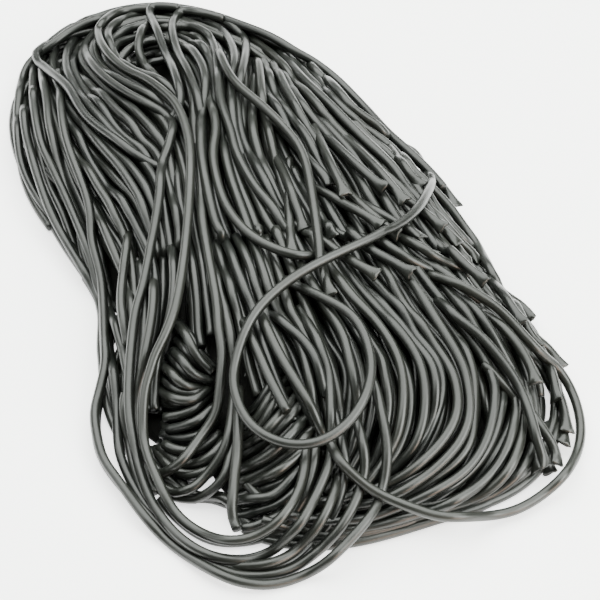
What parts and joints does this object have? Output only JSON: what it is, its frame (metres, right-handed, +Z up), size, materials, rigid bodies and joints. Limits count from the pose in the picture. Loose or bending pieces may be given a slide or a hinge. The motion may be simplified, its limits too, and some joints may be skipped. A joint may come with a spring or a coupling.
{
  "type": "licorice spaghetti",
  "caption": "Loose heap of black licorice spaghetti: a long hank of soft round laces turned back on itself, with stray loops and cut ends.",
  "frame": {"origin": "on the surface that the heap lies on, under the middle of its bounding box", "axes": "+Z up, the shortest extent; +Y along the hank's length, towards its far end, the longest extent"},
  "size_m": [0.2456, 0.3354, 0.0485],
  "materials": {
    "licorice": null
  },
  "bodies": {
    "root": {"lace_heap": "licorice"}
  },
  "joints": []
}
